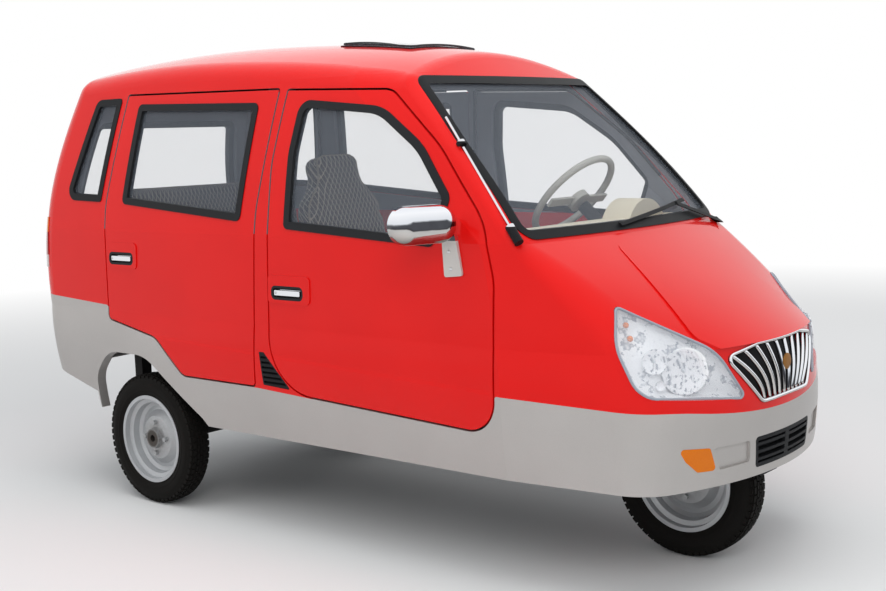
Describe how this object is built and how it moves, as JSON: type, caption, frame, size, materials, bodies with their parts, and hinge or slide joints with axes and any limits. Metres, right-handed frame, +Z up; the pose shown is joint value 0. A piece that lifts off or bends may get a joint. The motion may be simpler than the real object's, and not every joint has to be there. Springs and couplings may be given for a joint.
{
  "type": "three-wheeled passenger car",
  "caption": "Small enclosed three-wheeled car: hinged side doors and tailgate, steered front wheel, two rear wheels on leaf springs.",
  "frame": {"origin": "on the ground under the middle of the bounding box", "axes": "+X forward towards the nose, +Y to the left side of the car, +Z up"},
  "size_m": [3.1374, 1.766, 1.8041],
  "materials": {
    "chrome_trim": "bright",
    "black_steel": "satin",
    "cream_plastic": "satin",
    "cast_iron": "rough",
    "floor_paint": "satin",
    "silver_paint": "satin",
    "window_glass": "clear",
    "red_paint": "gloss",
    "seal_rubber": "satin",
    "black_plastic": "satin",
    "wheel_paint": "satin",
    "seat_fabric": "woven",
    "tyre": "matte",
    "lamp_chrome": "bright",
    "lens_clear": "clear",
    "lens_amber": "gloss",
    "grey_plastic": "satin",
    "lens_red": "gloss"
  },
  "bodies": {
    "body": {"antenna": "chrome_trim", "chassis_frame": "black_steel", "dashboard": "cream_plastic", "engine_block": "cast_iron", "floor_pan": "floor_paint", "front_bumper": "silver_paint", "front_seats": "seat_fabric", "grille": "chrome_trim", "grille_backing": "black_plastic", "hatch_frame": "black_plastic", "hatch_pane": "window_glass", "headlamp_housings": "lamp_chrome", "headlamp_lenses": "lens_clear", "indicators": "lens_amber", "leaf_springs": "black_steel", "lower_grille": "black_plastic", "nose_shell": "red_paint", "pillar_vents": "black_plastic", "quarter_seals": "seal_rubber", "quarter_windows": "window_glass", "rear_axle": "black_steel", "rear_bench": "seat_fabric", "rear_bumper": "silver_paint", "roof_panel": "red_paint", "side_frame_left": "red_paint", "side_frame_right": "red_paint", "side_skirt_left": "silver_paint", "side_skirt_right": "silver_paint", "steering_column": "black_steel", "tail_lamps": "lens_red", "windscreen": "window_glass", "windscreen_seal": "seal_rubber", "wiper": "black_plastic"},
    "front_door_right": {"front_door_right_glass": "window_glass", "front_door_right_panel": "red_paint", "front_door_right_trim": "seal_rubber", "mirror_right": "chrome_trim"},
    "front_door_left": {"front_door_left_glass": "window_glass", "front_door_left_panel": "red_paint", "front_door_left_trim": "seal_rubber", "mirror_left": "chrome_trim"},
    "rear_door_right": {"rear_door_right_glass": "window_glass", "rear_door_right_panel": "red_paint", "rear_door_right_trim": "seal_rubber"},
    "rear_door_left": {"rear_door_left_glass": "window_glass", "rear_door_left_panel": "red_paint", "rear_door_left_trim": "seal_rubber"},
    "tailgate": {"tailgate_glass": "window_glass", "tailgate_panel": "red_paint", "tailgate_seal": "seal_rubber"},
    "steering_wheel": {"steering_wheel": "grey_plastic"},
    "front_fork": {"front_fork": "black_steel", "front_mudguard": "black_plastic"},
    "front_wheel": {"front_tyre": "tyre", "front_rim": "wheel_paint"},
    "rear_wheel_right": {"rear_right_tyre": "tyre", "rear_right_rim": "wheel_paint"},
    "rear_wheel_left": {"rear_left_tyre": "tyre", "rear_left_rim": "wheel_paint"}
  },
  "joints": [
    {"name": "front_door_right_hinge", "type": "hinge", "parent": "body", "child": "front_door_right", "pos_m": [0.9035, -0.664, 0.8], "axis": [0, 0, 1], "range_deg": [0, 65]},
    {"name": "front_door_left_hinge", "type": "hinge", "parent": "body", "child": "front_door_left", "pos_m": [0.9035, 0.664, 0.8], "axis": [0, 0, -1], "range_deg": [0, 65]},
    {"name": "rear_door_right_hinge", "type": "hinge", "parent": "body", "child": "rear_door_right", "pos_m": [-0.1835, -0.664, 0.9], "axis": [0, 0, 1], "range_deg": [0, 65]},
    {"name": "rear_door_left_hinge", "type": "hinge", "parent": "body", "child": "rear_door_left", "pos_m": [-0.1835, 0.664, 0.9], "axis": [0, 0, -1], "range_deg": [0, 65]},
    {"name": "tailgate_hinge", "type": "hinge", "parent": "body", "child": "tailgate", "pos_m": [-1.4205, 0, 1.622], "axis": [0, 1, 0], "range_deg": [0, 80]},
    {"name": "steering_wheel_turn", "type": "hinge", "parent": "body", "child": "steering_wheel", "pos_m": [0.5825, 0.28, 1.19], "axis": [-0.7431, 0, 0.6691], "range_deg": [-280, 280]},
    {"name": "fork_steer", "type": "hinge", "parent": "body", "child": "front_fork", "pos_m": [1.2125, 0, 0.262], "axis": [-0.2588, 0, 0.9659], "range_deg": [-35, 35]},
    {"name": "front_wheel_spin", "type": "hinge", "parent": "front_fork", "child": "front_wheel", "pos_m": [1.2125, 0, 0.262], "axis": [0, 1, 0], "continuous": true},
    {"name": "rear_wheel_right_spin", "type": "hinge", "parent": "body", "child": "rear_wheel_right", "pos_m": [-0.8475, -0.598, 0.262], "axis": [0, 1, 0], "continuous": true},
    {"name": "rear_wheel_left_spin", "type": "hinge", "parent": "body", "child": "rear_wheel_left", "pos_m": [-0.8475, 0.598, 0.262], "axis": [0, 1, 0], "continuous": true}
  ],
  "couplings": [
    {"joint": "steering_wheel_turn", "follows": "fork_steer", "ratio": 8}
  ]
}
